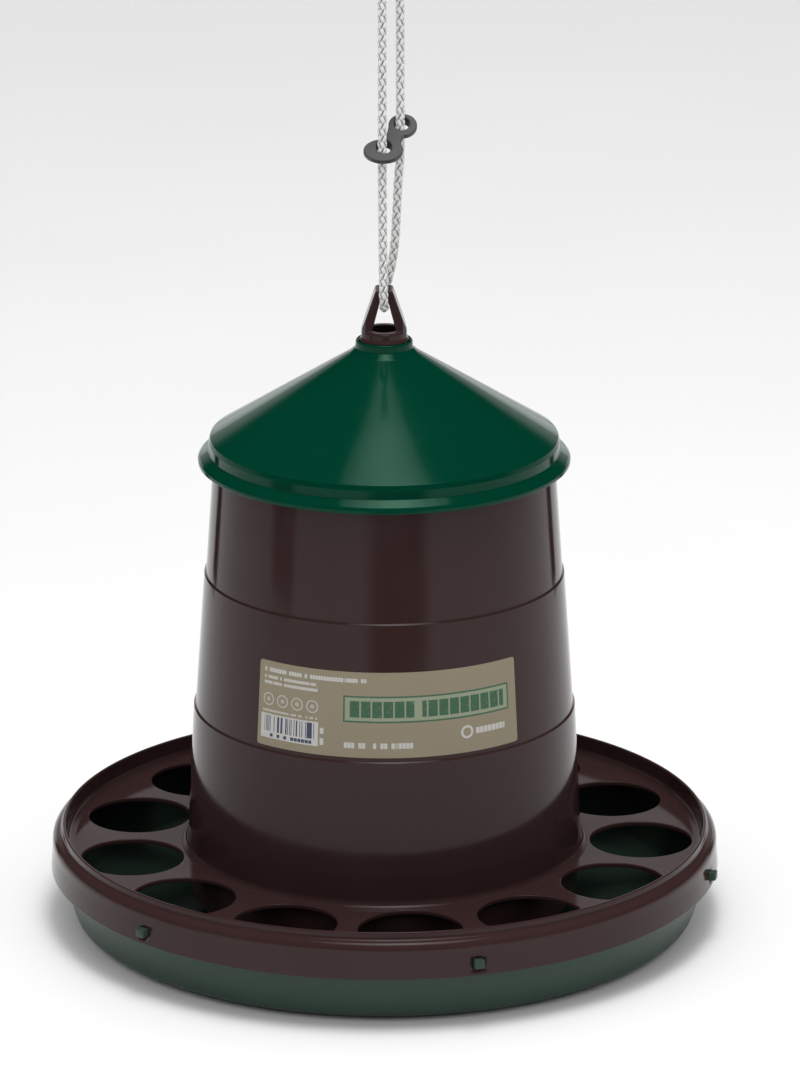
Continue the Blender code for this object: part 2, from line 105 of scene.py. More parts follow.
class Number:
    """A node's output that changes over a surface or along a curve. Arithmetic adds Math nodes."""

    def __init__(self, tree, socket):
        self.tree, self.socket = tree, socket

    def maths(self, operation, *values):
        return self.tree.add("ShaderNodeMath", {"operation": operation}, dict(enumerate(values)))

    def __add__(self, other):
        return self.maths("ADD", self, other)

    __radd__ = __add__

    def __sub__(self, other):
        return self.maths("SUBTRACT", self, other)

    def __rsub__(self, other):
        return self.maths("SUBTRACT", other, self)

    def __mul__(self, other):
        return self.maths("MULTIPLY", self, other)

    __rmul__ = __mul__

    def __truediv__(self, other):
        return self.maths("DIVIDE", self, other)

    def __pow__(self, power):
        return self.maths("POWER", self, power)

    def __abs__(self):
        return self.maths("ABSOLUTE", self)

    def sine(self):
        return self.maths("SINE", self)

    def cosine(self):
        return self.maths("COSINE", self)

    def part(self):
        """What is left above the whole number below."""
        return self.maths("FRACT", self)

    def floor(self):
        return self.maths("FLOOR", self)

    def most(self, other):
        return self.maths("MAXIMUM", self, other)

    def least(self, other):
        return self.maths("MINIMUM", self, other)

    def ramp(self, low, high):
        """0 below low, 1 above high, and smooth between them. With high under low it falls."""
        ends = {"From Min": low, "From Max": high}
        settings = {"interpolation_type": "SMOOTHSTEP"}
        return self.tree.add("ShaderNodeMapRange", settings, {"Value": self, **ends})

    def output(self, name):
        """Another output of the same node."""
        return Number(self.tree, self.socket.node.outputs[name])


class Tree:
    """Adds nodes to a material or a geometry group."""

    def __init__(self, tree):
        self.tree = tree

    def add(self, kind, settings=None, inputs=None, output=0):
        """A node of that type, its settings made first, its sockets given values or links."""
        node = self.tree.nodes.new(kind)
        for name, value in (settings or {}).items():
            setattr(node, name, value)
        for name, value in (inputs or {}).items():
            if isinstance(value, Number):
                self.tree.links.new(value.socket, node.inputs[name])
            else:
                node.inputs[name].default_value = value
        return Number(self, node.outputs[output]) if node.outputs else None

    def vector(self, operation, *values):
        output = "Value" if operation in ("DOT_PRODUCT", "LENGTH", "DISTANCE") else "Vector"
        inputs = dict(enumerate(values))
        if operation == "SCALE":
            inputs = {0: values[0], "Scale": values[1]}
        return self.add("ShaderNodeVectorMath", {"operation": operation}, inputs, output)

    def triple(self, x, y, z):
        return self.add("ShaderNodeCombineXYZ", None, {"X": x, "Y": y, "Z": z})


class Finish(Tree):
    """A material with one Principled shader. Its constants are set on the shader's own sockets."""

    def __init__(self, name, **constants):
        self.material = bpy.data.materials.new(name)
        self.material.use_nodes = True
        super().__init__(self.material.node_tree)
        self.shader = self.tree.nodes["Principled BSDF"]
        for key, value in constants.items():
            self.shader.inputs[key.replace("_", " ")].default_value = value
        self.at = self.add("ShaderNodeTexCoord", output="Object")

    def at_axis(self, axis):
        return self.add("ShaderNodeSeparateXYZ", None, {"Vector": self.at}, axis)

    def noise(self, size, detail=2.0, stretch=None, rough=0.5, at=None):
        """A cloudy pattern from 0 to 1 whose blotches are about size millimetres across."""
        where = at or self.at
        if stretch:
            where = self.vector("MULTIPLY", where, stretch)
        sockets = {"Vector": where, "Scale": 1 / (size * MM), "Detail": detail, "Roughness": rough}
        return self.add("ShaderNodeTexNoise", None, sockets)

    def mix(self, factor, first, second):
        """A colour between two."""
        first, second = (c if isinstance(c, Number) else (*c, 1.0) for c in (first, second))
        inputs = {0: factor, 6: first, 7: second}
        return self.add("ShaderNodeMix", {"data_type": "RGBA"}, inputs, 2)

    def surface(self, colour, roughness, height=None, depth=0.1):
        """Gives the shader its changing colour and roughness, and a relief of depth millimetres."""
        sockets = {"Base Color": colour, "Roughness": roughness}
        if height is not None:
            relief = {"Height": height, "Distance": depth * MM, "Strength": 1.0}
            sockets["Normal"] = self.add("ShaderNodeBump", None, relief)
        for name, value in sockets.items():
            self.tree.links.new(value.socket, self.shader.inputs[name])
        return self.material


def geometry_group(name, inputs):
    """A geometry group with a mesh or curve coming in, its named inputs, and a geometry output."""
    group = bpy.data.node_groups.new(name, "GeometryNodeTree")
    face = group.interface
    face.new_socket("Geometry", in_out="INPUT", socket_type="NodeSocketGeometry")
    for label, kind in inputs:
        face.new_socket(label, in_out="INPUT", socket_type="NodeSocket" + kind)
    face.new_socket("Geometry", in_out="OUTPUT", socket_type="NodeSocketGeometry")
    tree = Tree(group)
    given = tree.add("NodeGroupInput")
    return tree, given


def finish_group(tree, geometry, given):
    """Makes instances real, gives them their material, and ends the group."""
    real = tree.add("GeometryNodeRealizeInstances", None, {"Geometry": geometry})
    dressed = {"Geometry": real, "Material": given.output("Material")}
    result = tree.add("GeometryNodeSetMaterial", None, dressed)
    tree.add("NodeGroupOutput", None, {"Geometry": result})
    return tree.tree


def through(piece, group, **values):
    """Runs a piece through a geometry group and keeps what comes out as a plain mesh."""
    step = piece.modifiers.new(group.name, "NODES")
    step.node_group = group
    sockets = {s.name: s.identifier for s in group.interface.items_tree if s.in_out == "INPUT"}
    for name, value in values.items():
        step[sockets[name.replace("_", " ")]] = value
    return made_plain(piece)


def made_plain(piece):
    """A piece's evaluated shape as a new mesh object of the same name, its modifiers gone."""
    bpy.context.view_layer.update()
    graph = bpy.context.evaluated_depsgraph_get()
    mesh = bpy.data.meshes.new_from_object(piece.evaluated_get(graph), depsgraph=graph)
    name = piece.name
    bpy.data.objects.remove(piece, do_unlink=True)
    mesh.name = name
    return linked(name, mesh)


def linked(name, data):
    made = bpy.data.objects.new(name, data)
    SCENE.collection.objects.link(made)
    return made


# ---------------------------------------------------------------- shapes


def rounded(corners, closed=False, steps=6):
    """An outline whose corners, (x, y, fillet), are rounded. A narrow strip beside each fillet
    keeps the flats flat. A corner with no third number is kept as it is."""
    points = []
    for i, corner in enumerate(corners):
        here = np.array(corner[:2], float)
        ends = i in (0, len(corners) - 1) and not closed
        if len(corner) < 3 or ends:
            points.append(tuple(here))
            continue
        arms = [np.array(corners[j % len(corners)][:2], float) - here for j in (i - 1, i + 1)]
        reach = [np.linalg.norm(arm) for arm in arms]
        arms = [arm / length for arm, length in zip(arms, reach)]
        half = math.acos(max(-1.0, min(1.0, arms[0] @ arms[1]))) / 2
        cut = min(corner[2] / math.tan(half), 0.98 * min(reach))
        middle = (arms[0] + arms[1]) / np.linalg.norm(arms[0] + arms[1])
        centre = here + middle * cut / math.cos(half)
        spokes = [here + arm * cut - centre for arm in arms]
        sweep = math.pi - 2 * half
        strips = [min(0.2, 0.25 * (length - cut)) for length in reach]
        points.append(tuple(here + arms[0] * (cut + strips[0])))
        for k in range(steps + 1):
            t = k / steps
            first, second = math.sin((1 - t) * sweep), math.sin(t * sweep)
            spoke = (spokes[0] * first + spokes[1] * second) / math.sin(sweep)
            points.append(tuple(centre + spoke))
        points.append(tuple(here + arms[1] * (cut + strips[1])))
    return points


def arc(centre, radius, start, end, steps=12):
    angles = [math.radians(start + (end - start) * i / steps) for i in range(steps + 1)]
    return [(centre[0] + radius * math.cos(a), centre[1] + radius * math.sin(a)) for a in angles]


def on_bearing(radius, bearing, height):
    """A point at a radius from the axis, on a bearing in radians from the front."""
    return place(radius * math.sin(bearing), -radius * math.cos(bearing), height)


def turn(bm, outline, steps, closed=True, first=0.0):
    """Adds an outline of (radius, height) turned round the axis to a mesh."""
    columns = []
    for i in range(steps):
        bearing = first + math.tau * i / steps
        columns.append([bm.verts.new(on_bearing(r, bearing, h)) for r, h in outline])
    rows = range(len(outline) if closed else len(outline) - 1)
    for one, two in zip(columns, columns[1:] + columns[:1]):
        for j in rows:
            k = (j + 1) % len(outline)
            bm.faces.new((one[j], one[k], two[k], two[j]))


def finished(name, bm, sharp=None):
    """The mesh as an object: doubles merged, faces outwards, and smooth but for edges sharper
    than given."""
    bmesh.ops.remove_doubles(bm, verts=bm.verts, dist=0.002 * MM)
    bmesh.ops.recalc_face_normals(bm, faces=bm.faces)
    mesh = bpy.data.meshes.new(name)
    bm.to_mesh(mesh)
    bm.free()
    mesh.shade_smooth()
    if sharp:
        mesh.set_sharp_from_angle(angle=math.radians(sharp))
    return linked(name, mesh)


def turned(name, outline, steps=AROUND, closed=True):
    bm = bmesh.new()
    turn(bm, outline, steps, closed)
    return finished(name, bm)


def bar(name, low, high, bevel, segments=3):
    """A bar with rounded edges between two corners of the drawing."""
    bm = bmesh.new()
    low, high = place(*low), place(*high)
    shape = Matrix.Translation((low + high) / 2) @ Matrix.Diagonal((*(high - low), 1))
    bmesh.ops.create_cube(bm, size=1, matrix=shape)
    bmesh.ops.bevel(
        bm, geom=bm.edges[:], offset=bevel * MM, segments=segments, profile=0.5, affect="EDGES",
    )
    return finished(name, bm)


def prism(name, outline, half_depth):
    """A flat outline of (x, height) made solid along Y."""
    bm = bmesh.new()
    face = bm.faces.new([bm.verts.new(place(x, -half_depth, h)) for x, h in outline])
    moved = bmesh.ops.extrude_face_region(bm, geom=[face])["geom"]
    verts = [item for item in moved if isinstance(item, bmesh.types.BMVert)]
    bmesh.ops.translate(bm, verts=verts, vec=(0, 2 * half_depth * MM, 0))
    return finished(name, bm)


def combine(piece, others, operation):
    """Joins other shapes to a piece, or cuts them from it, and uses them up."""
    for other in others:
        step = piece.modifiers.new(other.name, "BOOLEAN")
        step.operation, step.object = operation, other
    made = made_plain(piece)
    for other in others:
        bpy.data.objects.remove(other, do_unlink=True)
    return made


def moulded(piece, cell, passes):
    """Gives a joined shape the soft edges of a moulding."""
    remesh = piece.modifiers.new("remesh", "REMESH")
    remesh.mode, remesh.voxel_size, remesh.use_smooth_shade = "VOXEL", cell * MM, True
    soften = piece.modifiers.new("soften", "SMOOTH")
    soften.factor, soften.iterations = 0.5, passes
    made = made_plain(piece)
    made.data.shade_smooth()
    return made


def joined(name, pieces):
    """Several closed shapes as one object."""
    bm = bmesh.new()
    for piece in pieces:
        bm.from_mesh(piece.data)
        bpy.data.objects.remove(piece, do_unlink=True)
    return finished(name, bm)


def around_group():
    """Repeats a shape made on the front at even bearings round the axis."""
    tree, given = geometry_group("around_the_axis", [
        ("Count", "Int"), ("First Bearing", "Float"), ("Material", "Material"),
    ])
    line = {"Count": given.output("Count"), "Offset": (0, 0, 0)}
    points = tree.add("GeometryNodeMeshLine", None, line)
    number = tree.add("GeometryNodeInputIndex")
    bearing = given.output("First Bearing") + number * math.tau / given.output("Count")
    copies = tree.add("GeometryNodeInstanceOnPoints", None, {
        "Points": points, "Instance": given.output("Geometry"),
        "Rotation": tree.triple(0.0, 0.0, bearing),
    })
    return finish_group(tree, copies, given)


def braid_group():
    """Plaits eight yarns, four each way, round a curve, over a plain core."""
    tree, given = geometry_group("braided_cord", [
        ("Radius", "Float"), ("Weave Depth", "Float"), ("Lead", "Float"), ("Yarn Width", "Float"),
        ("Yarn Thickness", "Float"), ("Yarns Each Way", "Int"), ("Step", "Float"),
        ("Material", "Material"),
    ])
    each_way = given.output("Yarns Each Way")
    path = tree.add("GeometryNodeResampleCurve", {"mode": "LENGTH"}, {
        "Curve": given.output("Geometry"), "Length": given.output("Step"),
    })
    copies = tree.add("GeometryNodeDuplicateElements", {"domain": "SPLINE"}, {
        "Geometry": path, "Amount": each_way * 2,
    })
    number = copies.output("Duplicate Index")
    along = tree.add("GeometryNodeSplineParameter").output("Length")
    way = 1 - 2 * number.maths("MODULO", number, 2)
    start = (number / 2).floor() * math.tau / each_way
    travel = along * math.tau / given.output("Lead")
    angle = way * travel + start
    over = (travel * each_way).cosine() * way
    out = given.output("Radius") + over * given.output("Weave Depth")
    side = tree.add("GeometryNodeInputNormal")
    heading = tree.add("GeometryNodeInputTangent")
    across = tree.vector("CROSS_PRODUCT", heading, side)
    spoke = tree.vector(
        "ADD", tree.vector("SCALE", side, angle.cosine()),
        tree.vector("SCALE", across, angle.sine())
    )
    kept = tree.add("GeometryNodeStoreNamedAttribute", {"data_type": "FLOAT_VECTOR"}, {
        "Geometry": copies, "Name": "spoke", "Value": spoke,
    })
    kept = tree.add("GeometryNodeStoreNamedAttribute", {"data_type": "FLOAT_VECTOR"}, {
        "Geometry": kept, "Name": "yarn", "Value": tree.triple(along, over, number),
    })
    placed = tree.add("GeometryNodeSetPosition", None, {
        "Geometry": kept, "Offset": tree.vector("SCALE", spoke, out),
    })
    stored = tree.add("GeometryNodeInputNamedAttribute", {"data_type": "FLOAT_VECTOR"}, {
        "Name": "spoke",
    })
    faced = tree.add("GeometryNodeSetCurveNormal", {"mode": "FREE"}, {
        "Curve": placed, "Normal": stored,
    })
    ring = tree.add("GeometryNodeCurvePrimitiveCircle", None, {"Resolution": 10, "Radius": 0.5})
    oval = tree.add("GeometryNodeTransform", None, {
        "Geometry": ring,
        "Scale": tree.triple(given.output("Yarn Thickness"), given.output("Yarn Width"), 1.0),
    })
    yarns = tree.add("GeometryNodeCurveToMesh", None, {
        "Curve": faced, "Profile Curve": oval, "Fill Caps": True,
    })
    core_ring = tree.add("GeometryNodeCurvePrimitiveCircle", None, {
        "Resolution": 10, "Radius": given.output("Radius") * 0.9,
    })
    core = tree.add("GeometryNodeCurveToMesh", None, {
        "Curve": path, "Profile Curve": core_ring, "Fill Caps": True,
    })
    both = tree.add("GeometryNodeJoinGeometry", None, {"Geometry": core})
    tree.tree.links.new(yarns.socket, both.socket.node.inputs[0])
    smooth = tree.add("GeometryNodeSetShadeSmooth", None, {"Geometry": both})
    return finish_group(tree, smooth, given)


# ---------------------------------------------------------------- materials


def moulded_plastic(name, dark, light, roughness, **constants):
    """Glossy moulded plastic: faint clouds in the colour, orange peel, slow waves and fine rubs."""
    skin = Finish(name, **constants)
    clouds = skin.noise(55, 3)
    specks = skin.noise(1.1, 2).ramp(0.66, 0.8)
    rubs = skin.noise(2.2, 4, stretch=(1, 1, 0.12), rough=0.65).ramp(0.52, 0.78)
    wipes = skin.noise(38, 3, stretch=(1, 1, 0.5)).ramp(0.35, 0.75)
    tone = (0.75 * clouds + 0.18 * specks).least(1.0)
    colour = skin.mix(tone, dark, light)
    rough = roughness + 0.05 * wipes + 0.07 * rubs
    peel = skin.noise(3.2, 2) * 0.0022
    waves = skin.noise(46, 1, stretch=(1, 1, 0.45)) * 0.11
    grain = rubs * 0.0005
    return skin.surface(colour, rough, peel + waves + grain, 1.0)


def satin_plastic(name, dark, light, roughness, painted_shade=None, **constants):
    """Duller moulded plastic with a fine spark-eroded grain. Where the given mask says, the colour
    is darkened towards near black as painted shade."""
    skin = Finish(name, **constants)
    clouds = skin.noise(40, 3)
    grain = skin.noise(0.7, 3, rough=0.6)
    rubs = skin.noise(5, 4, rough=0.7).ramp(0.5, 0.8)
    colour = skin.mix((0.8 * clouds + 0.3 * rubs).least(1.0), dark, light)
    if painted_shade:
        x, y, z = (skin.at_axis(axis) for axis in "XYZ")
        # painted shade: the colour darkens towards near black where the mask says
        colour = skin.mix(painted_shade(x, y, z), colour, (0.006, 0.009, 0.007))
    rough = roughness + 0.1 * rubs + 0.06 * grain
    return skin.surface(colour, rough, grain * 0.012 + skin.noise(30, 1) * 0.05, 1.0)


def painted_shade_in_pan(x, y, z):
    """Painted shade mask: 1 on the dish's inner faces, which lean out as its outer wall does, 1 mm
    further in, so the hollow under the ring's plate looks shaded.
    """
    height = (z - BASE) / MM
    past_wall = (x ** 2 + y ** 2) ** 0.5 / MM - 0.3 * height
    return past_wall.ramp(165.2, 164.4) * height.ramp(0.9, 1.6) * 0.75


def cord_yarn(name):
    """White braided yarn: fine filaments along each yarn, and painted shade that greys it where it
    goes under the next yarn and on the core between the yarns.
    """
    skin = Finish(name, Sheen_Weight=0.15)
    yarn = skin.add("ShaderNodeAttribute", {"attribute_name": "yarn"}, output="Vector")
    parts = skin.add("ShaderNodeSeparateXYZ", None, {"Vector": yarn})
    # painted shade: darker where a yarn passes under its neighbour, mid grey on the core
    painted_under_shade = parts.output("Y").ramp(0.55, -0.45)
    filaments = skin.noise(0.22, 3, stretch=(1, 1, 0.25), rough=0.6)
    soil = skin.noise(9, 3).ramp(0.5, 0.85)
    # the grey is mostly painted shade under crossing yarns, with some random fibre tone and soil
    shade = (0.8 * painted_under_shade + 0.22 * filaments + 0.1 * soil).least(1.0)
    colour = skin.mix(shade, (0.92, 0.92, 0.90), (0.20, 0.20, 0.195))
    return skin.surface(colour, 0.62 + 0.2 * filaments, filaments * 0.08, 1.0)


def label_print(name):
    """A kraft sticker. Its UV map runs from its lower left corner, in units of 100 mm, and its
    print is plain bars, boxes and stripes, with no lettering."""
    skin = Finish(name, Specular_IOR_Level=0.3)
    uv = skin.add("ShaderNodeUVMap", {"uv_map": "UVMap"})
    parts = skin.add("ShaderNodeSeparateXYZ", None, {"Vector": uv})
    u, v = parts.output("X") * 100, parts.output("Y") * 100

    def box(left, low, right, high, soft=0.12):
        """1 inside a box, in millimetres of the label."""
        sides = (u.ramp(left - soft, left + soft) * u.ramp(right + soft, right - soft))
        return sides * v.ramp(low - soft, low + soft) * v.ramp(high + soft, high - soft)

    def chance(number):
        return skin.add("ShaderNodeTexWhiteNoise", {"noise_dimensions": "1D"}, {"W": number})

    def words(left, low, right, high, letter, seed):
        """A line of greeked print: a bar broken into uneven short marks."""
        place_in_line = (u - left) / letter
        gap = chance(place_in_line.floor() + seed)
        slit = abs(place_in_line.part() - 0.5).ramp(0.46, 0.40)
        return box(left, low, right, high) * gap.ramp(0.10, 0.16) * slit

    fibre = skin.noise(0.5, 4, stretch=(1, 1, 2.6), rough=0.7)
    flecks = skin.noise(1.4, 3, rough=0.6).ramp(0.62, 0.74)
    clouds = skin.noise(16, 3)
    paper = skin.mix(fibre, (0.21, 0.178, 0.12), (0.325, 0.28, 0.195))
    paper = skin.mix(flecks * 0.35, paper, (0.16, 0.13, 0.085))
    paper = skin.mix(clouds * 0.25, paper, (0.34, 0.295, 0.21))

    white = words(3.4, 40.2, 62.5, 42.4, 1.55, 3.0)
    white = white.most(words(3.4, 36.6, 35.0, 38.2, 1.25, 11.0))
    white = white.most(words(3.4, 33.6, 36.0, 35.2, 1.25, 29.0))
    for middle in (6.6, 15.4, 24.2, 33.0):  # four small round marks
        away = ((u - middle) ** 2 + (v - 25.4) ** 2) ** 0.5
        white = white.most(abs(away - 3.1).ramp(0.42, 0.22) * 0.8)
        white = white.most(away.ramp(1.3, 1.0) * 0.6)
    white = white.most(words(3.0, 18.6, 36.0, 19.8, 1.1, 41.0) * 0.8)
    white = white.most(words(50.5, 5.0, 86.5, 8.0, 1.9, 57.0))
    white = white.most(box(37.6, 5.4, 39.6, 9.0) + box(37.6, 11.4, 39.6, 14.6))
    mark = ((u - 116.0) ** 2 + (v - 11.0) ** 2) ** 0.5
    white = white.most(abs(mark - 2.9).ramp(0.75, 0.5))
    white = white.most(words(121.0, 9.3, 139.0, 12.6, 2.4, 83.0))
    code = box(2.2, 4.4, 36.6, 17.4)
    colour = skin.mix(white.most(code) * 0.8, paper, (0.60, 0.60, 0.585))
    bars = chance((u / 0.42).floor()).ramp(0.47, 0.53) * box(4.4, 8.0, 34.4, 16.6)
    bars = bars.most(words(6.0, 5.2, 33.0, 7.0, 2.1, 97.0))
    colour = skin.mix(bars, colour, (0.055, 0.065, 0.12))

    frame_box, inside = box(50.0, 18.9, 142.2, 33.2), box(50.9, 19.8, 141.3, 32.3)
    colour = skin.mix(frame_box * 0.8, colour, (0.28, 0.335, 0.235))
    wear = skin.noise(1.3, 4, rough=0.7).ramp(0.30, 0.46)
    blocks = box(53.2, 21.6, 87.4, 30.4) + box(91.6, 21.6, 138.8, 30.4)
    slits = abs((u / 5.9).part() - 0.5).ramp(0.46, 0.40)
    ink = (frame_box - inside).most(blocks * slits) * (0.6 + 0.4 * wear)
    colour = skin.mix(ink, colour, (0.046, 0.120, 0.068))
    return skin.surface(colour, 0.42 + 0.2 * fibre, fibre * 0.02 - ink * 0.004, 1.0)


def studio_floor(name):
    """Seamless white paper with the faintest mottle."""
    skin = Finish(name)
    tone = skin.noise(300, 3)
    colour = skin.mix(tone, (0.92, 0.92, 0.92), (0.95, 0.95, 0.95))
    return skin.surface(colour, 0.55 + 0.1 * tone)


AROUND_AXIS, BRAID = around_group(), braid_group()
BROWN = moulded_plastic(
    "brown_plastic", (0.034, 0.0165, 0.0165), (0.046, 0.0235, 0.0235), 0.085, Specular_IOR_Level=0.2
)
LID_GREEN = moulded_plastic(
    "lid_green", (0.0003, 0.033, 0.0170), (0.0005, 0.046, 0.0250), 0.08,
    Specular_IOR_Level=0.22, Specular_Tint=(0.5, 1.0, 0.75, 1.0),
)
# the pan's inner faces, under the ring's plate, get painted shade
PAN_GREEN = satin_plastic(
    "pan_green", (0.022, 0.046, 0.033), (0.033, 0.060, 0.044), 0.32, painted_shade_in_pan,
    Specular_IOR_Level=0.25,
)
ADJUSTER_GREY = satin_plastic("adjuster_grey", (0.022, 0.025, 0.024), (0.040, 0.044, 0.042), 0.36)
CORD_WHITE = cord_yarn("white_cord")
LABEL_PRINT = label_print("kraft_label")


def dress(piece, material, body, slot, *nodes):
    """Gives a piece its material and its body, and hides the imported nodes it stands for. Its slot
    is not used.
    """
    piece.data.materials.clear()
    piece.data.materials.append(material)
    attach(piece, body)
    if nodes:
        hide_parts(*nodes)
    return piece


# ---------------------------------------------------------------- camera


def add_camera():
    """A long lens, a little above the feeder, at its front."""
    pitch, distance = math.radians(18.38), 3438.7
    watched = 160.0
    place_of = place(0, -distance * math.cos(pitch), watched + distance * math.sin(pitch))
    aim = place(8.4, 14.9, 204.7)
    lens = bpy.data.cameras.new("camera")
    lens.sensor_width, lens.lens = 36.0, 214.54
    lens.clip_start, lens.clip_end = 0.1, 60.0
    camera = linked("camera", lens)
    camera.location = place_of
    camera.rotation_euler = (aim - place_of).to_track_quat("-Z", "Y").to_euler()
    SCENE.camera = camera


add_camera()


# ---------------------------------------------------------------- rope


def smooth_route(points, spacing):
    """Points a given distance apart on a smooth curve through the route, in the feeder's frame."""
    route = [place(*p) for p in points]
    ends = [2 * route[0] - route[1], *route, 2 * route[-1] - route[-2]]
    fine = []
    for a, b, c, d in zip(ends, ends[1:], ends[2:], ends[3:]):
        for i in range(24):
            t = i / 24
            fine.append(0.5 * (
                2 * b + (c - a) * t + (2 * a - 5 * b + 4 * c - d) * t * t
                + (3 * b - a - 3 * c + d) * t ** 3
            ))
    fine.append(route[-1])
    total = sum((q - p).length for p, q in zip(fine, fine[1:]))
    count = max(2, round(total / (spacing * MM)))
    kept, walked, wanted = [fine[0]], 0.0, 1
    for p, q in zip(fine, fine[1:]):
        length = (q - p).length
        while wanted < count and walked + length >= wanted * total / count:
            kept.append(p.lerp(q, (wanted * total / count - walked) / length))
            wanted += 1
        walked += length
    return [*kept, fine[-1]], total


def plaited(name, routes, lead=26.8):
    """A braided cord along each route."""
    curve = bpy.data.curves.new(name, "CURVE")
    curve.dimensions = "3D"
    for route in routes:
        spline = curve.splines.new("POLY")
        spline.points.add(len(route) - 1)
        for point, at in zip(spline.points, route):
            point.co = (*at, 1)
    return through(
        linked(name, curve), BRAID, Radius=1.62 * MM, Weave_Depth=0.34 * MM, Lead=lead * MM,
        Yarn_Width=2.05 * MM, Yarn_Thickness=1.15 * MM, Yarns_Each_Way=4, Step=0.75 * MM,
        Material=CORD_WHITE,
    )


ROPE_ROUTE = [
    (-2.7, -1.2, 524.1), (-2.7, -1.3, 521), (-2.4, -2.0, 516.5), (-1.7, -3.4, 510),
    (-1.0, -4.7, 503),
    (-0.9, -5.0, 494), (-0.9, -5.0, 470), (-0.9, -5.0, 440), (-0.9, -5.0, 410),
    (-0.8, -6.4, 392), (-0.6, -8.5, 368), (-0.4, -9.7, 354),
    (-0.25, -10.1, 346.4), (-0.12, -8.75, 342.7), (-0.05, -6.4, 340.1), (0.0, -3.4, 338.4),
    (0.0, 0.0, 337.8),
    (0.0, 3.4, 338.4), (0.0, 6.4, 340.1), (0.2, 8.75, 342.7), (1.0, 10.1, 346.3),
    (2.3, 10.3, 351), (3.7, 9.9, 357), (4.9, 9.2, 364), (5.9, 8.1, 374), (6.7, 6.7, 389),
    (7.4, 5.6, 403),
    (8.3, 5.0, 416), (8.5, 5.0, 424), (8.5, 5.0, 445), (8.5, 5.0, 470), (8.5, 5.0, 494),
    (8.2, 4.7, 502), (6.6, 3.5, 509.5), (3.9, 1.9, 516.5), (2.8, 1.3, 521), (2.7, 1.2, 524.1),
]
LOOP_ROUTE = [
    (-2.7, 0, 542.9), (-2.8, 0, 546), (-3.8, 0, 550.5), (-6.2, 0, 557), (-9.6, 0, 566),
    (-11.0, 0, 573.5),
    (-9.5, 0, 579), (-5.5, 0, 583), (0, 0, 584.5), (5.5, 0, 583), (9.5, 0, 579),
    (11.0, 0, 573.5), (9.6, 0, 566), (6.2, 0, 557), (3.8, 0, 550.5), (2.8, 0, 546),
    (2.7, 0, 542.9),
]


def make_knot():
    """A barrel knot: the cord wound round both strands, its end tucked up beside the loop."""
    coil, wraps = 5.9, 2.6
    low, high = KNOT_BOTTOM + ROPE / 2, KNOT_TOP - ROPE / 2
    winding = [(-1.0, 1.0, low), (-3.6, 3.2, low)]
    for i in range(37):
        t = i / 36
        a = math.radians(150) + wraps * math.tau * t
        winding.append((coil * math.cos(a), coil * math.sin(a), low + (high - low) * t))
    a += 0.5
    winding.append((0.92 * coil * math.cos(a), 0.92 * coil * math.sin(a), high + 1.2))
    winding.append((0.9 * coil * math.cos(a + 0.4), 0.9 * coil * math.sin(a + 0.4), high + 6.5))
    winding.append((0.95 * coil * math.cos(a + 0.5), 0.95 * coil * math.sin(a + 0.5), high + 13.0))
    strands = [[(x, y, KNOT_BOTTOM - 0.5), (x, y / 2, 533.5), (x, 0, KNOT_TOP + 0.5)]
               for x, y in ((-2.7, -1.2), (2.7, 1.2))]
    return plaited("rope_knot_wraps", [smooth_route(r, 2.0)[0] for r in (winding, *strands)])


rope_path, rope_length = smooth_route(ROPE_ROUTE, 2.0)
loop_path, loop_length = smooth_route(LOOP_ROUTE, 2.0)
rope = dress(plaited("rope_braid", [rope_path]), CORD_WHITE, "body", "rope", "rope")
loop = dress(plaited("rope_loop_braid", [loop_path]), CORD_WHITE, "body", "rope", "rope_loop")
knot = dress(make_knot(), CORD_WHITE, "body", "rope", "rope_knot")


